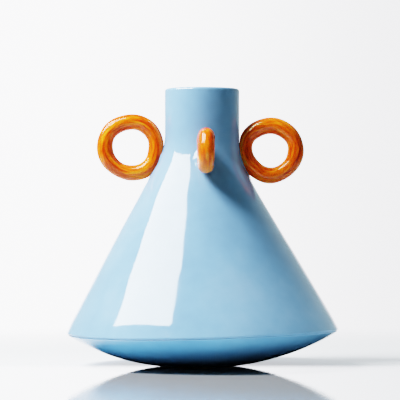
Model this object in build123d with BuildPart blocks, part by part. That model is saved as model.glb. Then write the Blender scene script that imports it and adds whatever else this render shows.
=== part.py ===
from build123d import *
import math
import os

# A stoneware vase: a short straight neck on a wide cone, closed below by a shallow bowl with a
# small flat foot. Four rolled rings stand round the shoulder, each in a vertical plane that
# holds the vase's axis. The pieces are luted with slip, so a thin layer of slip lies in every
# joint. Millimetres, +Z up, origin at the centre of the foot, front towards -Y.

# Neck
height = 300.0
neck_radius = 40.6
wall = 6.0
rim_fillet = 2.6
joint_height = 252.0  # where the neck's joint meets the inside of the wall
joint_rise = 3.5  # the joint is bevelled: it climbs this much from the inside to the outside

# Cone
edge_radius = 145.5  # the sharp edge, where cone and bowl would meet
edge_height = 37.6
corner_height = 229.0  # where the cone's line would meet the neck's line
flare_radius = 63.0  # the concave curve from the cone up into the neck

# Bowl
foot_radius = 42.8
bowl_middle = (100.0, 13.9)  # radius and height of a point halfway up the underside
bowl_wall = 7.0

# Slip
slip_thickness = 1.0
seam_depth = 1.3  # the slip in the edge's seam lies this far back from the edge
slip_layer = 0.8  # slip between a ring and the body
pad_thickness = 2.4  # how far the slip round a ring's root stands off the body
pad_margin = 2.4  # how far it spreads past the coil
pad_depth = 12.0  # how far it is carried each way before it is cut to the body

# Rings: azimuth about the axis in degrees, distance of the ring's centre from the axis, its
# height, the radius of the coil's centre line and the radius of the coil itself
rings = {
    "left": (180.0, 76.9, 236.6, 28.0, 8.0),
    "right": (0.0, 74.0, 233.5, 27.1, 8.3),
    "front": (-90.0, 64.0, 231.2, 15.6, 8.6),
    "back": (90.0, 64.0, 231.2, 15.6, 8.6),
}

cone_angle = math.atan((edge_radius - neck_radius) / (corner_height - edge_height))
flare_centre = Vector(
    neck_radius + flare_radius,
    0,
    corner_height + flare_radius * math.tan(cone_angle / 2),
)


def cone_radius(at_height, offset):
    """Radius of the cone's straight line at a height, with the line moved outwards."""
    drop = (at_height - edge_height) * math.tan(cone_angle)
    return edge_radius + offset / math.cos(cone_angle) - drop


def corner(offset):
    """Height where the neck's and the cone's lines meet, with both moved outwards."""
    run = cone_radius(edge_height, offset) - neck_radius - offset
    return edge_height + run / math.tan(cone_angle)


def upper_outline(offset, bottom, top):
    """Half section from the axis of all that lies inside neck, flare and cone."""
    with BuildSketch(Plane.XZ) as section:
        with BuildLine():
            FilletPolyline(
                (neck_radius + offset, top),
                (neck_radius + offset, corner(offset)),
                (cone_radius(bottom, offset), bottom),
                radius=flare_radius - offset,
            )
            Polyline(
                (cone_radius(bottom, offset), bottom),
                (0, bottom),
                (0, top),
                (neck_radius + offset, top),
            )
        make_face()
    return section.sketch


def body_envelope(offset):
    """The upper body as one solid block, with its outside moved outwards."""
    with BuildPart() as block:
        revolve(upper_outline(offset, edge_height, height), axis=Axis.Z)
    return block.part


# Neck: a thrown collar with a rounded rim and a bevelled foot
with BuildPart() as neck:
    with BuildSketch(Plane.XZ) as collar:
        with BuildLine():
            Polyline(
                (neck_radius - wall, joint_height),
                (neck_radius, joint_height + joint_rise),
                (neck_radius, height),
                (neck_radius - wall, height),
                close=True,
            )
        make_face()
        fillet(collar.vertices().sort_by(Axis.Y)[-2:], radius=rim_fillet)
    revolve(axis=Axis.Z)

# Slip in the neck's joint: the same bevel, one layer thick
with BuildPart() as neck_slip_joint:
    with BuildSketch(Plane.XZ):
        with BuildLine():
            Polyline(
                (neck_radius - wall, joint_height),
                (neck_radius, joint_height + joint_rise),
                (neck_radius, joint_height + joint_rise - slip_thickness),
                (neck_radius - wall, joint_height - slip_thickness),
                close=True,
            )
        make_face()
    revolve(axis=Axis.Z)

# Cone: the conical wall with its flare, down to the seam at the sharp edge
cone_bottom = edge_height + slip_thickness / 2
with BuildPart() as shoulder_cone:
    with BuildSketch(Plane.XZ):
        add(upper_outline(0, cone_bottom, height))
        add(upper_outline(-wall, cone_bottom, height), mode=Mode.SUBTRACT)
        with BuildLine():
            Polyline(
                (0, joint_height - slip_thickness),
                (neck_radius - wall, joint_height - slip_thickness),
                (neck_radius, joint_height + joint_rise - slip_thickness),
                (edge_radius, joint_height + joint_rise - slip_thickness),
                (edge_radius, height),
                (0, height),
                close=True,
            )
        make_face(mode=Mode.SUBTRACT)
    revolve(axis=Axis.Z)

# Bowl: a shallow dish, flat under its middle, hollowed to an even wall and cut level at the seam
bowl_top = edge_height - slip_thickness / 2
with BuildPart() as base_bowl:
    with BuildSketch(Plane.XZ):
        with BuildLine():
            ThreePointArc((foot_radius, 0), bowl_middle, (edge_radius, edge_height))
            Polyline(
                (edge_radius, edge_height),
                (0, edge_height),
                (0, 0),
                (foot_radius, 0),
            )
        make_face()
    revolve(axis=Axis.Z)
    offset(amount=-bowl_wall, openings=base_bowl.faces().sort_by(Axis.Z)[-1])
    split(bisect_by=Plane.XY.offset(bowl_top), keep=Keep.BOTTOM)

# Slip in the edge's seam: as wide as the cone's wall, a little back from the edge
with BuildPart() as edge_slip_joint:
    with BuildSketch(Plane.XY.offset(bowl_top)):
        Circle(edge_radius - seam_depth)
        Circle(cone_radius(cone_bottom, -wall), mode=Mode.SUBTRACT)
    extrude(amount=slip_thickness)

pieces = {
    "neck": neck.part,
    "neck_slip_joint": neck_slip_joint.part,
    "shoulder_cone": shoulder_cone.part,
    "edge_slip_joint": edge_slip_joint.part,
    "base_bowl": base_bowl.part,
}

# Rings: each is one coil bent round, with its root cut to the body less a layer of slip. The
# slip that holds it is a low oval pad on the flare, hollowed by the ring.
for side, (azimuth, distance, centre_height, coil_line, coil_radius) in rings.items():
    outward = Vector(1, 0, 0).rotate(Axis.Z, azimuth)
    centre = outward * distance + Vector(0, 0, centre_height)
    section_plane = Plane(origin=centre, x_dir=outward, z_dir=(0, 0, 1))

    with BuildPart() as ring:
        with BuildSketch(section_plane):
            with Locations((coil_line, 0)):
                Circle(coil_radius)
        revolve(axis=Axis(centre, section_plane.y_dir))
        add(body_envelope(slip_layer), mode=Mode.SUBTRACT)

    # The root is where the coil reaches furthest past the flare. Its length is the chord that
    # the ring's outer circle and the flare's circle share.
    flare_point = flare_centre.rotate(Axis.Z, azimuth)
    inward = (centre - flare_point).normalized()
    gap = (centre - flare_point).length
    ring_radius = coil_line + coil_radius
    chord_distance = ((flare_radius - slip_layer) ** 2 - gap**2 - ring_radius**2) / (2 * gap)
    half_chord = math.sqrt(ring_radius**2 - chord_distance**2)
    root_plane = Plane(
        origin=flare_point + inward * flare_radius,
        x_dir=section_plane.y_dir,
        z_dir=inward,
    )
    with BuildPart() as ring_slip:
        with BuildSketch(root_plane):
            Ellipse(coil_radius + pad_margin, half_chord + pad_margin)
        extrude(amount=pad_depth, both=True)
        add(body_envelope(pad_thickness), mode=Mode.INTERSECT)
        add(body_envelope(0), mode=Mode.SUBTRACT)
        add(ring.part, mode=Mode.SUBTRACT)

    pieces["ring_" + side] = ring.part
    pieces["ring_slip_" + side] = ring_slip.part

os.makedirs("parts", exist_ok=True)
for name, piece in pieces.items():
    piece.label = name
    export_step(piece, "parts/" + name + ".step")
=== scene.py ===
import math
import bmesh
import bpy
import numpy as np
from mathutils import Matrix, Vector


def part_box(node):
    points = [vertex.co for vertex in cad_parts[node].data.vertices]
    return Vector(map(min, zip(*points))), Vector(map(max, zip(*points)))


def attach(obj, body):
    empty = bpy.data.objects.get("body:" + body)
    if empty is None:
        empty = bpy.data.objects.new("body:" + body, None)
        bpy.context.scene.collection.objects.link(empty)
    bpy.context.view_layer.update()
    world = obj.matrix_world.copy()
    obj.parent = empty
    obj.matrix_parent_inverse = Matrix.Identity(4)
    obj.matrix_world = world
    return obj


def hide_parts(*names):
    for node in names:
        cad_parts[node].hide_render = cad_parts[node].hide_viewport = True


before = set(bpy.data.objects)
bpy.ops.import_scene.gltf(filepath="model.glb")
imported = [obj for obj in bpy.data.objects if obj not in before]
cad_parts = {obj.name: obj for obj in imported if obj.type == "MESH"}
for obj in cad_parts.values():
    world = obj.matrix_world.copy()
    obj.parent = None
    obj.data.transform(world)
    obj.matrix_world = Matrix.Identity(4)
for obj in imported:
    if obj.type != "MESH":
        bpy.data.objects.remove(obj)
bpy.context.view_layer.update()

# A hand-built stoneware vase with four coiled rings. Metres, +Z up, front towards -Y, in the
# same frame as the CAD parts. Every form is a grid of points worked out from a formula.
mm = 0.001


def smooth(value, low, high):
    # Climbs from 0 to 1 between low and high, level at both ends
    part = np.clip((value - low) / (high - low), 0, 1)
    return part * part * (3 - 2 * part)


def line(start, end, total):
    # Evenly spaced points from start to end
    part = np.linspace(0, 1, total)[:, None]
    return np.array(start) * (1 - part) + np.array(end) * part


def arc(centre, radius, first, last, total):
    # Points on a circle from the first angle to the last, in radians
    angle = np.linspace(first, last, total)
    return np.stack([centre[0] + radius * np.cos(angle), centre[1] + radius * np.sin(angle)], 1)


def outline(*runs):
    # One run of points from several, without the points that repeat where they meet
    points = np.concatenate(runs)
    step = np.linalg.norm(np.diff(points, axis=0), axis=1)
    return points[np.concatenate([[True], step > 1e-6])]


def addPiece(name, points, closedRows, attributes=None):
    # Makes a skin from a grid of rows by columns. Columns close round, and rows too where
    # closedRows says so. Elsewhere the first and last rows are poles, each at one place.
    rows, columns = points.shape[:2]
    index = np.arange(rows * columns).reshape(rows, columns)
    if closedRows:
        index = np.concatenate([index, index[:1]])
    right = np.roll(index, -1, axis=1)
    quads = np.stack([index[:-1], right[:-1], right[1:], index[1:]], -1).reshape(-1, 4)
    mesh = bpy.data.meshes.new(name)
    mesh.from_pydata(points.reshape(-1, 3), [], quads.tolist())
    for key, values in (attributes or {}).items():
        layer = mesh.attributes.new(key, "FLOAT_VECTOR" if values.ndim == 3 else "FLOAT", "POINT")
        layer.data.foreach_set("vector" if values.ndim == 3 else "value", values.ravel())
    work = bmesh.new()
    work.from_mesh(mesh)
    bmesh.ops.remove_doubles(work, verts=work.verts, dist=1e-6)
    bmesh.ops.recalc_face_normals(work, faces=work.faces)
    work.to_mesh(mesh)
    work.free()
    mesh.shade_smooth()
    mesh.set_sharp_from_angle(angle=math.radians(50))
    piece = bpy.data.objects.new(name, mesh)
    bpy.context.scene.collection.objects.link(piece)
    print("made", name, len(mesh.polygons), "faces")
    return piece


# The body's form. The outline is the CAD's own, and the hand that built it is added after.
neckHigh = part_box("neck")[1]
coneLow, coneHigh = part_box("shoulder_cone")
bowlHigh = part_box("base_bowl")[1]

form = {
    "neckRadius": neckHigh.x,
    "rimHeight": neckHigh.z,
    "rimRound": 2.7 * mm,
    "wall": 6 * mm,
    "joint": 252 * mm,          # where the neck's joint meets the inside of the wall
    "jointRise": 3.5 * mm,      # and how much it climbs to the outside
    "slip": 1 * mm,             # thickness of the slip in a joint
    "cornerHeight": 229 * mm,   # where the cone's line would meet the neck's
    "flareRadius": 63 * mm,
    "edgeRadius": coneHigh.x,
    "coneFoot": coneLow.z,
    "lipRound": 0.6 * mm,       # how sharp the edge is, above and below the seam
    "seamDepth": 1.6 * mm,      # how far the slip lies back between the two
    "bowlOver": 0.8 * mm,       # how far the bowl's lip stands out past the cone's
    "bowlTop": bowlHigh.z,
    "bowlMiddle": (98 * mm, 14 * mm),
    "bowlWall": 7 * mm,
    "footRadius": 31 * mm,
    "footRound": 1.2 * mm,
    "around": 320,              # points round the body
    "spacing": 1.6 * mm,        # and the distance between them down its side
    "rimPoints": 9,             # points in each quarter of the rim, in a lip and across a joint
    "lipPoints": 7,
    "jointPoints": 5,
    "footPoints": 12,           # and from the axis to the foot's edge
}

coneAngle = math.atan((form["edgeRadius"] - form["neckRadius"])
                      / (form["cornerHeight"] - form["coneFoot"]))
flareCentre = (form["neckRadius"] + form["flareRadius"],
               form["cornerHeight"] + form["flareRadius"] * math.tan(coneAngle / 2))
flareFoot = flareCentre[1] - form["flareRadius"] * math.sin(coneAngle)

# What the hand left: broad waves in the wall, a lean and an edge that isn't level or quite round
hand = {
    "waves": ((2, 290, 0.30), (3, 170, 0.22), (4, 120, 0.14), (6, 75, 0.08), (9, 42, 0.045)),
    "wavesGrow": (15 * mm, 110 * mm),   # heights between which the waves grow to their full size
    "wavesOut": 30 * mm,            # and the distance from the axis within which they die out
    "neckShare": 0.3,               # how much of the waves the thrown neck has
    "neckGrow": (215 * mm, 250 * mm),   # heights between which they sink to that share
    "lean": (0.5 * mm, -2.9 * mm),  # sideways shift at the edge, and under the flare
    "leanGrow": (40 * mm, 190 * mm),    # heights of those two
    "leanEnd": (205 * mm, 252 * mm),    # heights between which it dies out into the neck
    "footShift": -2.5 * mm,         # how far the foot stands to the left
    "footEnd": 32 * mm,             # height where that has died out
    "spread": (3.0 * mm, 45 * mm),  # how much wider the cone is at its edge, and the reach of that below
    "spreadOut": 120 * mm,          # distance from the axis where the spread is full
    "bevel": (1.1 * mm, 13 * mm),   # how far the wall's last part turns in, and its height
    "bevelWaver": ((3, 0.05, 1), (7, 0.04, 2)),     # turns, size and phase of the waves in that height
    "tilt": 1.9 * mm,               # rise of the edge on the right, and fall on the left
    "sag": 1.1 * mm,                # a second, shorter wave in the edge
    "tiltEnd": (45 * mm, 190 * mm),     # heights between which both die out
    "seed": 11,
}


def coneRadius(z, inset=0.0):
    # The cone's straight side, moved inwards square to itself
    drop = (z - form["coneFoot"]) * math.tan(coneAngle)
    return form["edgeRadius"] - drop - inset / math.cos(coneAngle)


def sideRadius(z):
    # Outside radius at a height, from the cone up through the flare to the neck
    up = np.clip(z - flareCentre[1], -form["flareRadius"], 0)
    flare = flareCentre[0] - np.sqrt(form["flareRadius"] ** 2 - up ** 2)
    return np.where(z < flareFoot, coneRadius(z), np.where(z < flareCentre[1], flare, form["neckRadius"]))


def waves(theta, z):
    # A sum of sines, each with a whole number of turns round the vase and a length up it
    phase = np.random.default_rng(hand["seed"]).uniform(0, 2 * math.pi, (len(hand["waves"]), 2))
    total = 0
    for (turns, length, height), (across, along) in zip(hand["waves"], phase):
        climb = np.cos(2 * math.pi * z / (length * mm) + along)
        total = total + height * mm * np.sin(turns * theta + across) * climb
    return total * (1 - (1 - hand["neckShare"]) * smooth(z, *hand["neckGrow"]))


def leanAt(z):
    # The sideways shift at a height: none in the neck, and the foot's own shift at the floor
    start, end = hand["lean"]
    low, high = hand["leanGrow"]
    climb = start + (end - start) * np.clip((z - low) / (high - low), -0.1, 1)
    wall = climb * (1 - smooth(z, *hand["leanEnd"])) * smooth(z, -1 * mm, 35 * mm)
    return wall + hand["footShift"] * (1 - smooth(z, 0, hand["footEnd"]))


def edgeShape(theta, z):
    # How much wider the wall is at a height: a spread that grows straight down the cone, less a
    # bevel that turns in above the edge. Both fade out down the bowl.
    widest, below = hand["spread"]
    depth, reach = hand["bevel"]
    up = z - form["coneFoot"]
    tall = form["cornerHeight"] - form["coneFoot"]
    waver = 1
    for turns, size, phase in hand["bevelWaver"]:
        waver = waver + size * np.sin(turns * theta + phase)
    shape = widest * (1 - np.clip(up / tall, 0, 1)) - depth * np.clip(1 - up / (reach * waver), 0, 1)
    return shape * (1 - smooth(-up, 0, below))


def byHand(radius, theta, z):
    # Carries a point of the true form to where the hand put it. The edge rises by a sine with one
    # turn and one with two, in step with the distance from the axis. The foot stays flat.
    edge = hand["tilt"] * np.cos(theta) + hand["sag"] * np.cos(2 * theta + math.pi / 2)
    share = np.clip((radius - form["footRadius"]) / (form["edgeRadius"] - form["footRadius"]), 0, 1)
    rise = edge * share * (1 - smooth(z, *hand["tiltEnd"]))
    out = radius + waves(theta, z) * smooth(z, *hand["wavesGrow"]) * smooth(radius, 0, hand["wavesOut"])
    out = out + edgeShape(theta, z) * smooth(radius, form["neckRadius"], hand["spreadOut"])
    return np.stack([out * np.cos(theta) + leanAt(z), out * np.sin(theta), z + rise], -1)


def spun(profile):
    # A profile of radius and height carried round the axis
    theta = np.linspace(0, 2 * math.pi, form["around"], endpoint=False)[None, :]
    radius, z = profile[:, 0][:, None], profile[:, 1][:, None]
    return byHand(radius + 0 * theta, theta + 0 * radius, z + 0 * theta)


def count(length):
    return max(3, int(length / form["spacing"]))


def makeNeck():
    outside, top, rimRound = form["neckRadius"], form["rimHeight"], form["rimRound"]
    inside = outside - form["wall"]
    low = (inside, form["joint"])
    high = (outside, form["joint"] + form["jointRise"])
    straight = top - rimRound
    profile = outline(
        line(high, (outside, straight), count(top - high[1])),
        arc((outside - rimRound, straight), rimRound, 0, math.pi / 2, form["rimPoints"]),
        arc((inside + rimRound, straight), rimRound, math.pi / 2, math.pi, form["rimPoints"]),
        line((inside, straight), low, count(top - low[1])),
        line(low, high, form["jointPoints"])[:-1],
    )
    return addPiece("neck_glazed", spun(profile), True)


def makeNeckSlip():
    outside, inside = form["neckRadius"], form["neckRadius"] - form["wall"]
    low, high = (inside, form["joint"]), (outside, form["joint"] + form["jointRise"])
    under, underHigh = (inside, low[1] - form["slip"]), (outside, high[1] - form["slip"])
    profile = outline(
        line(underHigh, high, 3),
        line(high, low, form["jointPoints"]),
        line(low, under, 3),
        line(under, underHigh, form["jointPoints"])[:-1],
    )
    return addPiece("neck_joint_slip", spun(profile), True)


def makeCone():
    # Down the outside, round the lip at the edge, in along the seam and up the inside
    outside, inside = form["neckRadius"], form["neckRadius"] - form["wall"]
    top = (outside, form["joint"] + form["jointRise"] - form["slip"])
    topInside = (inside, form["joint"] - form["slip"])
    foot, lip, flare = form["coneFoot"], form["lipRound"], form["flareRadius"]
    lipCentre = (coneRadius(foot + lip, lip), foot + lip)
    lipTop = foot + lip + lip * math.sin(coneAngle)
    footInside = (coneRadius(foot, form["wall"]), foot)
    hollow = flare + form["wall"]
    bend = flareCentre[1] - hollow * math.sin(coneAngle)
    profile = outline(
        line(top, (outside, flareCentre[1]), count(top[1] - flareCentre[1])),
        arc(flareCentre, flare, math.pi, math.pi + coneAngle, count(flare * coneAngle)),
        line((coneRadius(flareFoot), flareFoot), (coneRadius(lipTop), lipTop), count(flareFoot - lipTop)),
        arc(lipCentre, lip, coneAngle, -math.pi / 2, form["lipPoints"]),
        line((lipCentre[0], foot), footInside, form["jointPoints"]),
        line(footInside, (coneRadius(bend, form["wall"]), bend), count(bend - foot) // 2),
        arc(flareCentre, hollow, math.pi + coneAngle, math.pi, count(hollow * coneAngle) // 2),
        line((inside, flareCentre[1]), topInside, form["jointPoints"]),
        line(topInside, top, form["jointPoints"])[:-1],
    )
    return addPiece("cone_glazed", spun(profile), True)


def makeEdgeSlip():
    low, high = form["bowlTop"], form["coneFoot"]
    outside = form["edgeRadius"] - form["seamDepth"]
    inside = coneRadius(high, form["wall"])
    profile = outline(
        line((outside, low), (outside, high), 3),
        line((outside, high), (inside, high), 4),
        line((inside, high), (inside, low), 3),
        line((inside, low), (outside, low), 4)[:-1],
    )
    return addPiece("edge_joint_slip", spun(profile), True)


def circleThrough(first, middle, last):
    # Centre and radius of the circle on three points, from the two chords' midlines
    first, middle, last = np.array(first), np.array(middle), np.array(last)
    chords = 2 * np.array([middle - first, last - first])
    squares = np.array([middle @ middle - first @ first, last @ last - first @ first])
    centre = np.linalg.solve(chords, squares)
    return centre, np.linalg.norm(centre - first)


def makeBowl():
    # Out along the foot, up the round underside, over the lip and back down the hollow inside
    foot, lip, top, wall = form["footRound"], form["lipRound"], form["bowlTop"], form["bowlWall"]
    edge = (form["edgeRadius"] + form["bowlOver"], (top + form["coneFoot"]) / 2)
    centre, radius = circleThrough((form["footRadius"], 0), form["bowlMiddle"], edge)

    # The lip rolls from the underside's slope to the level seam
    lipZ = top - lip
    lipR = centre[0] + math.sqrt((radius - lip) ** 2 - (lipZ - centre[1]) ** 2)
    lipAngle = math.atan2(lipZ - centre[1], lipR - centre[0])
    # The underside starts half the foot's rounding above the floor
    footZ = foot / 2
    footAngle = math.asin((footZ - centre[1]) / radius)
    footR = centre[0] + radius * math.cos(footAngle)
    flat = footR - 1.5 * foot
    # The hollow runs inside the same circle, the wall's thickness away
    hollow = radius - wall
    hollowTop = math.asin((top - centre[1]) / hollow)
    hollowFoot = math.asin((wall - centre[1]) / hollow)
    span = radius * (lipAngle - footAngle)
    profile = outline(
        line((0, 0), (flat, 0), form["footPoints"]),
        line((flat, 0), (footR, footZ), form["jointPoints"]),
        arc(centre, radius, footAngle, lipAngle, count(span)),
        arc((lipR, lipZ), lip, lipAngle, math.pi / 2, form["lipPoints"]),
        line((lipR, top), (centre[0] + hollow * math.cos(hollowTop), top), form["jointPoints"]),
        arc(centre, hollow, hollowTop, hollowFoot, count(span) // 2),
        line((centre[0] + hollow * math.cos(hollowFoot), wall), (0, wall), form["footPoints"]),
    )
    return addPiece("bowl_glazed", spun(profile), False)


bodyPieces = {
    "neck": makeNeck(),
    "neck_slip_joint": makeNeckSlip(),
    "shoulder_cone": makeCone(),
    "edge_slip_joint": makeEdgeSlip(),
    "base_bowl": makeBowl(),
}

# The rings. Each is one hand-rolled coil bent round, pressed against the shoulder while wet.
# Waves are pairs of how many times each comes in a turn and its height in mm.
ringMake = {
    "along": 220,               # points along the coil
    "across": 60,               # and round it
    "bend": ((2, 0.45), (3, 0.40), (4, 0.22), (6, 0.10)),   # waves in the ring's radius
    "roll": ((2, 0.30), (3, 0.22), (5, 0.16), (8, 0.07)),   # waves in the coil's thickness
    "usual": 28 * mm,           # both are for a ring of this radius, and less for a smaller one
    "twist": ((1, 0.12),),      # a soft ridge that winds round the coil
    "wobble": ((2, 0.35), (3, 0.20)),                       # waves out of the ring's plane
    "press": 0.9 * mm,          # how softly the coil is flattened where it meets the body
    "seeds": {"left": 3, "right": 8, "front": 5, "back": 14},
    "swell": {"left": 0.6, "right": 0.4, "front": -0.2, "back": 0.1},   # each coil's own thickness, mm
    "turned": {"left": 0.0, "right": 0.0, "front": 3.6, "back": -2.0},  # set off true, degrees
}
ringSides = {"left": math.pi, "right": 0.0, "front": -math.pi / 2, "back": math.pi / 2}


def ripple(angle, recipe, random):
    # A sum of sines, each with a whole number of turns and its own height
    return sum(height * mm * np.sin(turns * angle + random.uniform(0, 2 * math.pi))
               for turns, height in recipe)


def ringPlace(side):
    # Distance from the axis, height, ring radius and coil radius, read from the CAD ring's box
    low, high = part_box("ring_" + side)
    thickness = min(high.x - low.x, high.y - low.y) / 2
    reach = (high.z - low.z) / 2
    far = max(abs(low.x), abs(high.x), abs(low.y), abs(high.y))
    return far - reach, (low.z + high.z) / 2, reach - thickness, thickness


def makeRing(side):
    # The ring lies in the plane of the axis and the outward direction. A circle of the coil's
    # radius is carried round a circle of the ring's radius, and both are a little uneven.
    azimuth = ringSides[side] + math.radians(ringMake["turned"][side])
    distance, height, ringRadius, coil = ringPlace(side)
    random = np.random.default_rng(ringMake["seeds"][side])
    along = np.linspace(0, 2 * math.pi, ringMake["along"], endpoint=False)[:, None]
    across = np.linspace(0, 2 * math.pi, ringMake["across"], endpoint=False)[None, :]
    share = ringRadius / ringMake["usual"]
    bent = ringRadius + share * ripple(along, ringMake["bend"], random)
    thick = coil + ringMake["swell"][side] * mm + share * ripple(along, ringMake["roll"], random)
    thick = thick + ripple(2 * across + along, ringMake["twist"], random)
    reach = bent + thick * np.cos(across)
    outward = distance + reach * np.cos(along)
    up = height + reach * np.sin(along)
    aside = thick * np.sin(across) + ripple(along, ringMake["wobble"], random)
    # Across the body's surface: the coil is flattened where it would run into the wall, by
    # half of the root of the gap squared plus the softness squared, less the gap
    bodySide = sideRadius(up) + leanAt(up) * math.cos(azimuth)
    gap = np.sqrt(outward ** 2 + aside ** 2) - bodySide
    outward = outward + 0.5 * (np.sqrt(gap ** 2 + ringMake["press"] ** 2) - gap)
    x = outward * math.cos(azimuth) - aside * math.sin(azimuth)
    y = outward * math.sin(azimuth) + aside * math.cos(azimuth)
    # The glaze runs along the coil, so its pattern is kept as two circles: one long, one round
    level = 0 * (along + across)
    flow = np.stack([np.cos(along) + level, np.sin(along) + level, np.cos(across) + level], -1)
    return addPiece("ring_" + side + "_glazed", np.stack([x, y, up], -1), True,
                    {"coilFlow": flow, "coilTurn": np.sin(across) + level})


# The slip smeared round each ring's root: a low mound that climbs the coil in a hollow curve
slipMound = {
    "height": 2.8 * mm,
    "sink": 0.6 * mm,           # how far its underside lies in the wall
    "margin": 2.6 * mm,         # how far it spreads past the coil
    "rows": 24,
    "columns": 96,
    "ragged": ((3, 0.9), (5, 0.5), (8, 0.35), (13, 0.2)),   # waves in its edge, mm
    "tallShare": 0.95,          # how much of the ring's own root its height takes
    "seedStep": 100,            # added to the ring's seed
}


def makeMound(side):
    # An oval on the body's surface. Its height is a bell: highest at the middle, level at the rim.
    azimuth = ringSides[side] + math.radians(ringMake["turned"][side])
    distance, height, ringRadius, coil = ringPlace(side)
    # Where the ring's circle cuts the flare's circle, as the half chord between the two cuts
    away = np.array([distance, height]) - np.array(flareCentre)
    gap = np.linalg.norm(away)
    rootZ = flareCentre[1] + away[1] / gap * form["flareRadius"]
    ring = ringRadius + coil
    chord = (form["flareRadius"] ** 2 - gap ** 2 - ring ** 2) / (2 * gap)
    halfTall = math.sqrt(ring ** 2 - chord ** 2) + slipMound["margin"]
    halfWide = coil + slipMound["margin"]
    random = np.random.default_rng(ringMake["seeds"][side] + slipMound["seedStep"])
    # Rows run from the middle of the top to the rim, and back to the middle of the underside
    rows = slipMound["rows"]
    part = np.concatenate([np.linspace(0, 1, rows), np.linspace(1, 0, rows)[1:]])[:, None]
    over = (np.arange(len(part)) < rows)[:, None]
    phi = np.linspace(0, 2 * math.pi, slipMound["columns"], endpoint=False)[None, :]
    edge = 1 + ripple(phi, slipMound["ragged"], random) / halfWide
    z = rootZ + part * edge * halfTall * np.sin(phi) * slipMound["tallShare"]
    across = part * edge * halfWide * np.cos(phi)
    bell = np.where(over, slipMound["height"] * (1 - part ** 2) ** 2, 0)
    lift = bell - slipMound["sink"] * np.where(over, part ** 6, 1)
    # It stands out square to the wall, whose slope is taken over a short step
    step = 0.2 * mm
    radius = sideRadius(z)
    slope = (sideRadius(z + step) - sideRadius(z - step)) / (2 * step)
    theta = azimuth + across / radius
    length = np.sqrt(1 + slope ** 2)
    points = byHand(radius + lift / length, theta, z - lift * slope / length)
    return addPiece("ring_" + side + "_slip", points, False)


rings = {side: makeRing(side) for side in ringSides}
mounds = {side: makeMound(side) for side in ringSides}


# Materials
black = (0.0, 0.0, 0.0, 1.0)


def colour(code):
    # An sRGB hex value as the linear colour that a shader takes
    parts = [int(code[i:i + 2], 16) / 255 for i in (1, 3, 5)]
    return tuple(p / 12.92 if p <= 0.04045 else ((p + 0.055) / 1.055) ** 2.4 for p in parts) + (1.0,)


def addNode(tree, kind, links=None, stops=None, **settings):
    # A node with its settings: an attribute of the node by name, or else one of its inputs. A
    # link's value is the output that feeds the input.
    node = tree.nodes.new("ShaderNode" + kind)
    for key, value in settings.items():
        setattr(node, key, value)
    for key, value in (links or {}).items():
        if isinstance(value, bpy.types.NodeSocket):
            tree.links.new(value, node.inputs[key])
        else:
            node.inputs[key].default_value = value
    if stops:
        band = node.color_ramp
        while len(band.elements) < len(stops):
            band.elements.new(0.5)
        for element, (place, value) in zip(band.elements, stops):
            element.position = place
            element.color = value
    return node


def blend(tree, share, first, second):
    # Two colours mixed: the first where the share is 0 and the second where it is 1
    return addNode(tree, "Mix", {0: share, 6: first, 7: second}, data_type="RGBA").outputs[2]


def ramp(tree, value, low, high, start=0.0, end=1.0):
    # A value that climbs smoothly from start to end as another goes from low to high
    return addNode(tree, "MapRange", {"Value": value, "From Min": low, "From Max": high, "To Min": start,
                                      "To Max": end}, interpolation_type="SMOOTHSTEP").outputs[0]


def codes(stops, shift=0.0):
    # A colour ramp's stops from pairs of place and hex value, all moved by the shift
    return [(place + shift, colour(code)) for place, code in stops]


def newMaterial(name):
    material = bpy.data.materials.new(name)
    material.use_nodes = True
    tree = material.node_tree
    tree.nodes.clear()
    return material, tree


def finished(tree, shader):
    addNode(tree, "OutputMaterial", {"Surface": shader.outputs[0]})


# Glossy light blue stoneware glaze, poured and fired: glassy, a little deeper in some soft cloudy patches
blueLook = {
    "stops": ((0.3, "#6e96be"), (0.5, "#78a3cc"), (0.7, "#87afd6")),
    "cloud": 95,                # size of the cloudy patches, mm
    "mottle": 14,               # size of the fine mottle, mm
    "mottleShare": 0.2,
    "mottleRange": (0.3, 0.7),  # the mottle's values at the clearest and the dullest spots
    "skin": 9,                  # size of the glaze's own ripple, mm
    "skinBump": (0.2, 0.05 * mm),   # its strength and depth
    "dent": 30,                 # size of the soft dents that fingers left, mm
    "dentBump": (0.8, 0.4 * mm),
    "roughness": (0.056, 0.098),    # and the glaze's roughness there
    "ior": 1.5,
}


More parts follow.
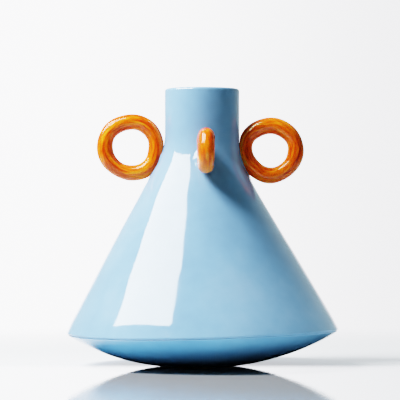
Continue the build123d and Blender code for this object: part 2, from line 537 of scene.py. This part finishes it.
def blueGlaze():
    look = blueLook
    material, tree = newMaterial("blue stoneware glaze")
    place = addNode(tree, "TexCoord").outputs["Object"]
    cloud = addNode(tree, "TexNoise", {"Vector": place, "Scale": 1000 / look["cloud"], "Detail": 2.0,
                                       "Roughness": 0.45})
    mottle = addNode(tree, "TexNoise", {"Vector": place, "Scale": 1000 / look["mottle"], "Detail": 3.0,
                                        "Roughness": 0.5})
    both = addNode(tree, "Mix", {0: look["mottleShare"], 2: cloud.outputs[0], 3: mottle.outputs[0]})
    tint = addNode(tree, "ValToRGB", {"Fac": both.outputs[0]}, codes(look["stops"]))
    low, high = look["mottleRange"]
    clear, dull = look["roughness"]
    gloss = addNode(tree, "MapRange", {"Value": mottle.outputs[0], "From Min": low, "From Max": high,
                                       "To Min": clear, "To Max": dull})
    dents = addNode(tree, "TexNoise", {"Vector": place, "Scale": 1000 / look["dent"], "Detail": 1.0})
    skin = addNode(tree, "TexNoise", {"Vector": place, "Scale": 1000 / look["skin"], "Detail": 1.0})
    strength, depth = look["dentBump"]
    pressed = addNode(tree, "Bump", {"Height": dents.outputs[0], "Strength": strength, "Distance": depth})
    strength, depth = look["skinBump"]
    bump = addNode(tree, "Bump", {"Height": skin.outputs[0], "Strength": strength, "Distance": depth,
                                  "Normal": pressed.outputs[0]})
    shader = addNode(tree, "BsdfPrincipled", {"Base Color": tint.outputs[0], "Roughness": gloss.outputs[0],
                                              "IOR": look["ior"], "Normal": bump.outputs[0]})
    finished(tree, shader)
    return material


# Amber glaze on the rings: thick and glassy, streaked along the coil from orange to red-brown
amberLook = {
    "stops": ((0.28, "#a8260a"), (0.39, "#d0460b"), (0.50, "#ee670f"), (0.61, "#f9831c"), (0.74, "#fdb044")),
    "deeper": {"left": 0.005, "right": 0.005, "front": -0.01, "back": 0.0},     # how much redder each is
    "streak": (1.1, 1.1, 2.6),  # how often it changes along the coil, twice, and round it
    "veins": "#6a1404",         # thin dark lines where the glaze ran thin
    "veinScale": 3.0,           # how much finer they are than the streaks
    "veinWidth": 0.028,
    "veinShare": 0.85,
    "bareClayAndPaintedBounce": "#dda763",          # painted light from the floor and body below: the pale cream that each ring's lower part turns to
    "paintedBounceShare": {"left": 0.05, "right": 0.0, "front": 0.5, "back": 0.3},
    "paintedBounceFrom": (0.0, -0.55),   # it starts at the coil's middle height and is full near its foot
    "glow": 0.5,                # how much light passes under the surface
    "depth": 7 * mm,            # how far it goes into the glassy coat
    "depthTint": (1.0, 0.25, 0.05),     # and how much farther in red than in green and blue
    "shine": (1.0, 0.86, 0.62, 1.0),    # the coat's own tint in its reflections
    "shineLevel": 0.38,
    "roughness": 0.12,
    "ior": 1.45,
    "patternStep": 3.7,         # how far apart the rings are cut from the one pattern
}


def amberGlaze(side, shift):
    look = amberLook
    material, tree = newMaterial("amber glaze " + side)
    flow = addNode(tree, "Attribute", attribute_name="coilFlow").outputs["Vector"]
    turn = addNode(tree, "Attribute", attribute_name="coilTurn").outputs["Fac"]
    stretch = addNode(tree, "Mapping", {"Vector": flow, "Scale": look["streak"], "Location": (shift, 0, 0)})
    turned = addNode(tree, "Math", {0: turn, 1: look["streak"][2]}, operation="MULTIPLY")
    streaks = addNode(tree, "TexNoise", {"Vector": stretch.outputs[0], "W": turned.outputs[0], "Scale": 1.0,
                                         "Detail": 5.0, "Roughness": 0.55, "Distortion": 0.6},
                      noise_dimensions="4D")
    tint = addNode(tree, "ValToRGB", {"Fac": streaks.outputs[0]}, codes(look["stops"], look["deeper"][side]))
    # A vein runs wherever a finer noise passes through its middle value
    lines = addNode(tree, "TexNoise", {"Vector": stretch.outputs[0], "W": turned.outputs[0],
                                       "Scale": look["veinScale"], "Detail": 5.0, "Roughness": 0.6,
                                       "Distortion": 1.4}, noise_dimensions="4D")
    ridge = addNode(tree, "Math", {0: lines.outputs[0], 1: 0.5}, operation="SUBTRACT")
    size = addNode(tree, "Math", {0: ridge.outputs[0]}, operation="ABSOLUTE")
    vein = addNode(tree, "MapRange", {"Value": size.outputs[0], "From Min": 0.0,
                                      "From Max": look["veinWidth"], "To Min": look["veinShare"],
                                      "To Max": 0.0})
    veined = blend(tree, vein.outputs[0], tint.outputs[0], colour(look["veins"]))
    # Painted reflected light: the coil's lower half is mixed towards pale cream, as if lit by the floor and
    # body below
    height = addNode(tree, "SeparateXYZ", {0: flow}).outputs["Y"]
    low = addNode(tree, "Math", {0: height, 1: streaks.outputs[0]}, operation="ADD")
    start, full = look["paintedBounceFrom"]
    paintedBounce = addNode(tree, "MapRange", {"Value": low.outputs[0], "From Min": start, "From Max": full,
                                      "To Min": 0.0, "To Max": look["paintedBounceShare"][side]})
    glazed = blend(tree, paintedBounce.outputs[0], veined, colour(look["bareClayAndPaintedBounce"]))
    shader = addNode(tree, "BsdfPrincipled", {"Base Color": glazed, "Roughness": look["roughness"],
                                              "IOR": look["ior"], "Subsurface Weight": look["glow"],
                                              "Subsurface Radius": look["depthTint"],
                                              "Subsurface Scale": look["depth"],
                                              "Specular IOR Level": look["shineLevel"],
                                              "Specular Tint": look["shine"]})
    finished(tree, shader)
    return material


# Fired slip and bare stoneware: matt, pale, with a fine grit
clayLook = {
    "slip": ("#a89a86", "#cfc4b2"),     # the grit's dark and light colours
    "bareClayAndPaintedBounce": ("#9c8468", "#c9b79d"),
    "grit": 1.5,                        # size of the grit, mm
    "gritBump": (0.6, 0.1 * mm),        # its strength and depth
    "roughness": 0.85,
}


def clay(name, colours):
    material, tree = newMaterial(name)
    place = addNode(tree, "TexCoord").outputs["Object"]
    grit = addNode(tree, "TexNoise", {"Vector": place, "Scale": 1000 / clayLook["grit"], "Detail": 3.0,
                                      "Roughness": 0.7})
    tint = addNode(tree, "ValToRGB", {"Fac": grit.outputs[0]}, codes(zip((0.35, 0.6), colours)))
    strength, depth = clayLook["gritBump"]
    bump = addNode(tree, "Bump", {"Height": grit.outputs[0], "Strength": strength, "Distance": depth})
    shader = addNode(tree, "BsdfPrincipled", {"Base Color": tint.outputs[0],
                                              "Roughness": clayLook["roughness"],
                                              "Normal": bump.outputs[0]})
    finished(tree, shader)
    return material


glaze = blueGlaze()
slipClay = clay("fired slip", clayLook["slip"])
bareClay = clay("bare stoneware", clayLook["bareClayAndPaintedBounce"])


def cover(piece, material, hidden):
    # Gives a second material to the faces that hidden picks by their middles and normals
    piece.data.materials.append(material)
    total = len(piece.data.polygons)
    middles, normals = np.zeros(total * 3), np.zeros(total * 3)
    piece.data.polygons.foreach_get("center", middles)
    piece.data.polygons.foreach_get("normal", normals)
    picked = hidden(middles.reshape(-1, 3), normals.reshape(-1, 3))
    piece.data.polygons.foreach_set("material_index", picked.astype(np.int32))


def inJoint(middles, normals):
    # The slip's level faces, which lie against its neighbours
    return np.abs(normals[:, 2]) > 0.5


def underFoot(middles, normals):
    # The flat of the foot, which is wiped clean of glaze
    return middles[:, 2] < form["footRound"] / 4


for node, piece in bodyPieces.items():
    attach(piece, "root")
    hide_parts(node)
    piece.data.materials.append(glaze)
    if "slip" in node:
        cover(piece, slipClay, inJoint)
    if node == "base_bowl":
        cover(piece, bareClay, underFoot)
for number, side in enumerate(ringSides):
    for piece, node, slotName in ((rings[side], "ring_" + side, "amber_glaze"),
                                  (mounds[side], "ring_slip_" + side, "blue_glaze")):
        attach(piece, "root")
        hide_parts(node)
    rings[side].data.materials.append(amberGlaze(side, amberLook["patternStep"] * number))
    mounds[side].data.materials.append(glaze)
print("materials done")


# The studio: a polished pale floor that fades into a pale backdrop, and one softbox high on the
# left, made of two lamps. Glossy surfaces see the broad one, and the other lights the vase.
studio = {
    "floorRadius": 1.6,
    "floorRings": 24,
    "floorColumns": 96,
    "floorFade": (0.55, 1.2),               # the floor thins to nothing between these distances
    "fadeCentre": (0.0, -0.3, 0.0),         # from this point, in front of the vase
    "floorSeen": colour("#f6f6f7"),
    "bounceNear": colour("#98d8e8"),        # the light it sends back to the vase, blue under the bowl
    "bounceFar": colour("#f6f8f6"),         # and white past it
    "bounceWhitens": (155 * mm, 230 * mm),  # where the one turns to the other
    "bounceGrows": (132 * mm, 174 * mm),    # it starts and is full here
    "bounceFades": (470 * mm, 300 * mm),    # and ends and starts to fade here
    "bounceCentre": (22 * mm, 12 * mm, 0),  # measured from this point
    "polish": colour("#f4f6f8"),
    "grain": 2500.0,                        # grains in a metre of the polish
    "grainLean": (0.02, 0.02, 0.0),         # and how far each leans
    "mirrorFront": 0.85,                    # share of its polish in front of the vase
    "mirrorBack": 0.22,                     # and behind it
    "mirrorAcross": (-50 * mm, 30 * mm),    # where the one turns to the other
    "mirrorAngle": (0.70, 0.92),            # it grows between these, where 1 is a level look
    "mirrorReach": (760 * mm, 430 * mm),    # and between these distances from the axis
    "backdropLeft": (4.0, 4.0, 4.15, 1.0),
    "backdropRight": (2.0, 2.0, 2.1, 1.0),
    "backdropAcross": (-0.1, 0.12),         # where the one turns to the other
    "sweep": (0.90, 0.985),                 # how near to the back it is seen in reflections
    "walls": (0.70, 0.86, 0.88, 1.0),       # the walls either side of the backdrop
    "wallsFrom": (0.1, 0.85),
    "roomPale": (0.50, 0.58, 0.64, 1.0),
    "roomDim": (0.09, 0.13, 0.12, 1.0),
    "paleSide": (-0.75, 0.62, 0.2),         # the way to the room's pale side
    "paleFrom": (-0.1, 0.7),
    "boxPlace": (-0.641, -0.240, 0.969),
    "boxSize": (0.95, 0.585),
    "boxPower": 60.0,
    "boxTint": (0.90, 0.98, 1.0),
    "keyTarget": (0.0, 0.0, 0.15),          # the middle of the vase
    "keyDistance": 1.3,                     # and how far the key stands from it
    "keySize": (0.66, 0.44),
    "keyPower": 56.0,
    "keyTint": (0.93, 0.96, 1.0),
    "aim": (0.588, 0.261, -0.765),          # the way both lamps face
    "boxWide": (0.575, -0.804, 0.174),      # and the way their long side lies
    "eye": (-2.2 * mm, -2317 * mm, 157 * mm),
    "eyePitch": 90.56,
    "lens": 192.6,
    "sensor": 36,
}


def makeFloor():
    # A disc made of rings, whose middle is a pole
    ring = np.linspace(0, studio["floorRadius"], studio["floorRings"])[:, None]
    theta = np.linspace(0, 2 * math.pi, studio["floorColumns"], endpoint=False)[None, :]
    points = np.stack([ring * np.cos(theta), ring * np.sin(theta), 0 * ring * theta], -1)
    index = np.arange(points.shape[0] * points.shape[1]).reshape(points.shape[:2])
    right = np.roll(index, -1, axis=1)
    quads = np.stack([index[:-1], index[1:], right[1:], right[:-1]], -1).reshape(-1, 4)
    mesh = bpy.data.meshes.new("floor")
    mesh.from_pydata(points.reshape(-1, 3), [], quads.tolist())
    floor = bpy.data.objects.new("floor", mesh)
    bpy.context.scene.collection.objects.link(floor)
    floor.data.materials.append(floorPolish())


def apartFrom(tree, place, centre):
    # The straight distance between a place and a centre
    return addNode(tree, "VectorMath", {0: place, 1: centre}, operation="DISTANCE").outputs["Value"]


def floorMatt(tree, place, rays):
    # White to the camera. The light it sends to the vase is none from under the bowl, then blue,
    # then white, then none again. In the glaze's reflections it is black under the bowl and white
    # past it.
    apart = apartFrom(tree, place, studio["bounceCentre"])
    inner = ramp(tree, apart, *studio["bounceGrows"])
    outer = ramp(tree, apart, *studio["bounceFades"])
    band = addNode(tree, "Math", {0: inner, 1: outer}, operation="MULTIPLY").outputs[0]
    whitens = ramp(tree, apart, *studio["bounceWhitens"])
    sentBack = blend(tree, whitens, studio["bounceNear"], studio["bounceFar"])
    bounce = blend(tree, band, black, sentBack)
    mirrored = blend(tree, inner, black, studio["floorSeen"])
    sent = blend(tree, rays["Is Glossy Ray"], bounce, mirrored)
    tint = blend(tree, rays["Is Camera Ray"], sent, studio["floorSeen"])
    return addNode(tree, "BsdfDiffuse", {"Color": tint}).outputs[0]


def floorMirror(tree, place):
    # A true mirror whose surface leans a little, this way and that, at every grain
    grain = addNode(tree, "TexNoise", {"Vector": place, "Scale": studio["grain"], "Detail": 0.0})
    lean = addNode(tree, "VectorMath", {0: grain.outputs["Color"], 1: (0.5, 0.5, 0.5)}, operation="SUBTRACT")
    uneven = addNode(tree, "VectorMath", {0: lean.outputs[0], 1: studio["grainLean"], 2: (0.0, 0.0, 1.0)},
                     operation="MULTIPLY_ADD")
    normal = addNode(tree, "VectorMath", {0: uneven.outputs[0]}, operation="NORMALIZE")
    return addNode(tree, "BsdfGlossy", {"Color": studio["polish"], "Roughness": 0.0,
                                        "Normal": normal.outputs[0]}).outputs[0]


def floorPolish():
    # Matt, with a mirror over it that shows near the vase and at low angles, and only to the camera
    material, tree = newMaterial("pale polished floor")
    place = addNode(tree, "TexCoord").outputs["Object"]
    rays = addNode(tree, "LightPath").outputs
    depth = addNode(tree, "SeparateXYZ", {0: place}).outputs["Y"]
    facing = addNode(tree, "LayerWeight", {"Blend": 0.5}).outputs["Facing"]
    share = ramp(tree, depth, *studio["mirrorAcross"], studio["mirrorFront"], studio["mirrorBack"])
    for limit in (ramp(tree, facing, *studio["mirrorAngle"]),
                  ramp(tree, apartFrom(tree, place, (0, 0, 0)), *studio["mirrorReach"]),
                  rays["Is Camera Ray"]):
        share = addNode(tree, "Math", {0: share, 1: limit}, operation="MULTIPLY").outputs[0]
    both = addNode(tree, "MixShader", {0: share, 1: floorMatt(tree, place, rays),
                                       2: floorMirror(tree, place)})
    clear = addNode(tree, "BsdfTransparent")
    fade = ramp(tree, apartFrom(tree, place, studio["fadeCentre"]), *studio["floorFade"])
    finished(tree, addNode(tree, "MixShader", {0: fade, 1: both.outputs[0], 2: clear.outputs[0]}))
    return material


def makeRoom():
    world = bpy.data.worlds.new("studio")
    bpy.context.scene.world = world
    world.use_nodes = True
    tree = world.node_tree
    tree.nodes.clear()
    look = addNode(tree, "TexCoord").outputs["Generated"]
    across = addNode(tree, "SeparateXYZ", {0: look}).outputs
    side = addNode(tree, "VectorMath", {0: look, 1: studio["paleSide"]}, operation="DOT_PRODUCT")
    pale = ramp(tree, side.outputs["Value"], *studio["paleFrom"])
    room = blend(tree, pale, studio["roomDim"], studio["roomPale"])
    walled = blend(tree, ramp(tree, across["Y"], *studio["wallsFrom"]), room, studio["walls"])
    leftToRight = ramp(tree, across["X"], *studio["backdropAcross"])
    backdrop = blend(tree, leftToRight, studio["backdropLeft"], studio["backdropRight"])
    # The camera sees the backdrop all round, by itself and in the floor's mirror. Everything
    # else sees only the sweep of it behind the vase.
    rays = addNode(tree, "LightPath").outputs
    shown = ramp(tree, across["Y"], *studio["sweep"])
    for seen in (rays["Is Camera Ray"], rays["Is Singular Ray"]):
        shown = addNode(tree, "Math", {0: shown, 1: seen}, operation="MAXIMUM").outputs[0]
    sky = addNode(tree, "Background", {"Color": blend(tree, shown, walled, backdrop), "Strength": 1.0})
    addNode(tree, "OutputWorld", {"Surface": sky.outputs[0]})


def makeLamp(name, place, size, power, tint):
    # An area light facing along the aim, its width as near as it can be to boxWide
    toLight = -Vector(studio["aim"]).normalized()
    tall = toLight.cross(Vector(studio["boxWide"])).normalized()
    wide = tall.cross(toLight)
    light = bpy.data.lights.new(name, "AREA")
    light.shape = "RECTANGLE"
    light.size, light.size_y = size
    light.energy = power
    light.color = tint
    lamp = bpy.data.objects.new(name, light)
    turn = Matrix((wide, tall, toLight)).transposed().to_4x4()
    lamp.matrix_world = Matrix.Translation(place) @ turn
    lamp.visible_camera = False
    bpy.context.scene.collection.objects.link(lamp)
    return lamp


def makeSoftbox():
    # Its broad face gives the mirror image, and its bright middle the light and the shadows
    face = makeLamp("softbox", studio["boxPlace"], studio["boxSize"], studio["boxPower"], studio["boxTint"])
    face.visible_diffuse = False
    place = Vector(studio["keyTarget"]) - Vector(studio["aim"]).normalized() * studio["keyDistance"]
    key = makeLamp("key", place, studio["keySize"], studio["keyPower"], studio["keyTint"])
    key.visible_glossy = False


def makeCamera():
    camera = bpy.data.cameras.new("camera")
    camera.sensor_width = studio["sensor"]
    camera.lens = studio["lens"]
    eye = bpy.data.objects.new("camera", camera)
    eye.location = studio["eye"]
    eye.rotation_euler = (math.radians(studio["eyePitch"]), 0, 0)
    bpy.context.scene.collection.objects.link(eye)
    bpy.context.scene.camera = eye
    bpy.context.scene.view_settings.view_transform = "Filmic"
    bpy.context.scene.view_settings.look = "High Contrast"


makeFloor()
makeRoom()
makeSoftbox()
makeCamera()
print("studio done")
